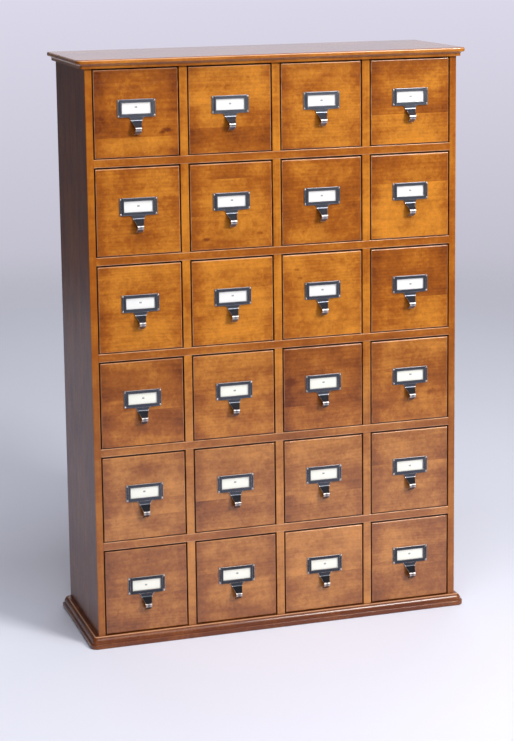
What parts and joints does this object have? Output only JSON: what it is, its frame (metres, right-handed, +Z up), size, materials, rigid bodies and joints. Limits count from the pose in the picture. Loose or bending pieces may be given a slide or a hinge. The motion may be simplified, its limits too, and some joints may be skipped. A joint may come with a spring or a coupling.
{
  "type": "card catalog cabinet",
  "caption": "Tall, shallow stained-wood cabinet with a grid of small sliding card drawers, moulded top and base boards, and metal label-holder pulls.",
  "frame": {"origin": "centre of the base board's underside, on the floor", "axes": "+Z up; the drawers face -Y and open along -Y; +X is to the right seen from the front"},
  "size_m": [0.688, 0.2369, 1.005],
  "materials": {
    "stained_wood": "semi-gloss lacquer over honey-brown stain",
    "drawer_wood": "semi-gloss lacquered, stained front on a plain hardwood box",
    "back_plywood": "matt plywood, thin stain",
    "antique_metal": "dark antique pewter, worn bright on rims and edges",
    "screw_steel": "zinc-plated steel, slightly yellow"
  },
  "bodies": {
    "cabinet": {"base_board": "stained_wood", "top_board": "stained_wood", "left_side": "stained_wood", "right_side": "stained_wood", "back_panel": "back_plywood", "back_panel_screws": "screw_steel", "shelf_1": "stained_wood", "shelf_2": "stained_wood", "shelf_3": "stained_wood", "shelf_4": "stained_wood", "shelf_5": "stained_wood", "dividers": "stained_wood"},
    "drawer_r1c1_body": {"drawer_r1c1": "drawer_wood", "pull_r1c1": "antique_metal"},
    "drawer_r1c2_body": {"drawer_r1c2": "drawer_wood", "pull_r1c2": "antique_metal"},
    "drawer_r1c3_body": {"drawer_r1c3": "drawer_wood", "pull_r1c3": "antique_metal"},
    "drawer_r1c4_body": {"drawer_r1c4": "drawer_wood", "pull_r1c4": "antique_metal"},
    "drawer_r2c1_body": {"drawer_r2c1": "drawer_wood", "pull_r2c1": "antique_metal"},
    "drawer_r2c2_body": {"drawer_r2c2": "drawer_wood", "pull_r2c2": "antique_metal"},
    "drawer_r2c3_body": {"drawer_r2c3": "drawer_wood", "pull_r2c3": "antique_metal"},
    "drawer_r2c4_body": {"drawer_r2c4": "drawer_wood", "pull_r2c4": "antique_metal"},
    "drawer_r3c1_body": {"drawer_r3c1": "drawer_wood", "pull_r3c1": "antique_metal"},
    "drawer_r3c2_body": {"drawer_r3c2": "drawer_wood", "pull_r3c2": "antique_metal"},
    "drawer_r3c3_body": {"drawer_r3c3": "drawer_wood", "pull_r3c3": "antique_metal"},
    "drawer_r3c4_body": {"drawer_r3c4": "drawer_wood", "pull_r3c4": "antique_metal"},
    "drawer_r4c1_body": {"drawer_r4c1": "drawer_wood", "pull_r4c1": "antique_metal"},
    "drawer_r4c2_body": {"drawer_r4c2": "drawer_wood", "pull_r4c2": "antique_metal"},
    "drawer_r4c3_body": {"drawer_r4c3": "drawer_wood", "pull_r4c3": "antique_metal"},
    "drawer_r4c4_body": {"drawer_r4c4": "drawer_wood", "pull_r4c4": "antique_metal"},
    "drawer_r5c1_body": {"drawer_r5c1": "drawer_wood", "pull_r5c1": "antique_metal"},
    "drawer_r5c2_body": {"drawer_r5c2": "drawer_wood", "pull_r5c2": "antique_metal"},
    "drawer_r5c3_body": {"drawer_r5c3": "drawer_wood", "pull_r5c3": "antique_metal"},
    "drawer_r5c4_body": {"drawer_r5c4": "drawer_wood", "pull_r5c4": "antique_metal"},
    "drawer_r6c1_body": {"drawer_r6c1": "drawer_wood", "pull_r6c1": "antique_metal"},
    "drawer_r6c2_body": {"drawer_r6c2": "drawer_wood", "pull_r6c2": "antique_metal"},
    "drawer_r6c3_body": {"drawer_r6c3": "drawer_wood", "pull_r6c3": "antique_metal"},
    "drawer_r6c4_body": {"drawer_r6c4": "drawer_wood", "pull_r6c4": "antique_metal"}
  },
  "joints": [
    {"name": "slide_r1c1", "type": "slide", "parent": "cabinet", "child": "drawer_r1c1_body", "axis": [0, -1, 0], "range_m": [0, 0.165]},
    {"name": "slide_r1c2", "type": "slide", "parent": "cabinet", "child": "drawer_r1c2_body", "axis": [0, -1, 0], "range_m": [0, 0.165]},
    {"name": "slide_r1c3", "type": "slide", "parent": "cabinet", "child": "drawer_r1c3_body", "axis": [0, -1, 0], "range_m": [0, 0.165]},
    {"name": "slide_r1c4", "type": "slide", "parent": "cabinet", "child": "drawer_r1c4_body", "axis": [0, -1, 0], "range_m": [0, 0.165]},
    {"name": "slide_r2c1", "type": "slide", "parent": "cabinet", "child": "drawer_r2c1_body", "axis": [0, -1, 0], "range_m": [0, 0.165]},
    {"name": "slide_r2c2", "type": "slide", "parent": "cabinet", "child": "drawer_r2c2_body", "axis": [0, -1, 0], "range_m": [0, 0.165]},
    {"name": "slide_r2c3", "type": "slide", "parent": "cabinet", "child": "drawer_r2c3_body", "axis": [0, -1, 0], "range_m": [0, 0.165]},
    {"name": "slide_r2c4", "type": "slide", "parent": "cabinet", "child": "drawer_r2c4_body", "axis": [0, -1, 0], "range_m": [0, 0.165]},
    {"name": "slide_r3c1", "type": "slide", "parent": "cabinet", "child": "drawer_r3c1_body", "axis": [0, -1, 0], "range_m": [0, 0.165]},
    {"name": "slide_r3c2", "type": "slide", "parent": "cabinet", "child": "drawer_r3c2_body", "axis": [0, -1, 0], "range_m": [0, 0.165]},
    {"name": "slide_r3c3", "type": "slide", "parent": "cabinet", "child": "drawer_r3c3_body", "axis": [0, -1, 0], "range_m": [0, 0.165]},
    {"name": "slide_r3c4", "type": "slide", "parent": "cabinet", "child": "drawer_r3c4_body", "axis": [0, -1, 0], "range_m": [0, 0.165]},
    {"name": "slide_r4c1", "type": "slide", "parent": "cabinet", "child": "drawer_r4c1_body", "axis": [0, -1, 0], "range_m": [0, 0.165]},
    {"name": "slide_r4c2", "type": "slide", "parent": "cabinet", "child": "drawer_r4c2_body", "axis": [0, -1, 0], "range_m": [0, 0.165]},
    {"name": "slide_r4c3", "type": "slide", "parent": "cabinet", "child": "drawer_r4c3_body", "axis": [0, -1, 0], "range_m": [0, 0.165]},
    {"name": "slide_r4c4", "type": "slide", "parent": "cabinet", "child": "drawer_r4c4_body", "axis": [0, -1, 0], "range_m": [0, 0.165]},
    {"name": "slide_r5c1", "type": "slide", "parent": "cabinet", "child": "drawer_r5c1_body", "axis": [0, -1, 0], "range_m": [0, 0.165]},
    {"name": "slide_r5c2", "type": "slide", "parent": "cabinet", "child": "drawer_r5c2_body", "axis": [0, -1, 0], "range_m": [0, 0.165]},
    {"name": "slide_r5c3", "type": "slide", "parent": "cabinet", "child": "drawer_r5c3_body", "axis": [0, -1, 0], "range_m": [0, 0.165]},
    {"name": "slide_r5c4", "type": "slide", "parent": "cabinet", "child": "drawer_r5c4_body", "axis": [0, -1, 0], "range_m": [0, 0.165]},
    {"name": "slide_r6c1", "type": "slide", "parent": "cabinet", "child": "drawer_r6c1_body", "axis": [0, -1, 0], "range_m": [0, 0.165]},
    {"name": "slide_r6c2", "type": "slide", "parent": "cabinet", "child": "drawer_r6c2_body", "axis": [0, -1, 0], "range_m": [0, 0.165]},
    {"name": "slide_r6c3", "type": "slide", "parent": "cabinet", "child": "drawer_r6c3_body", "axis": [0, -1, 0], "range_m": [0, 0.165]},
    {"name": "slide_r6c4", "type": "slide", "parent": "cabinet", "child": "drawer_r6c4_body", "axis": [0, -1, 0], "range_m": [0, 0.165]}
  ]
}
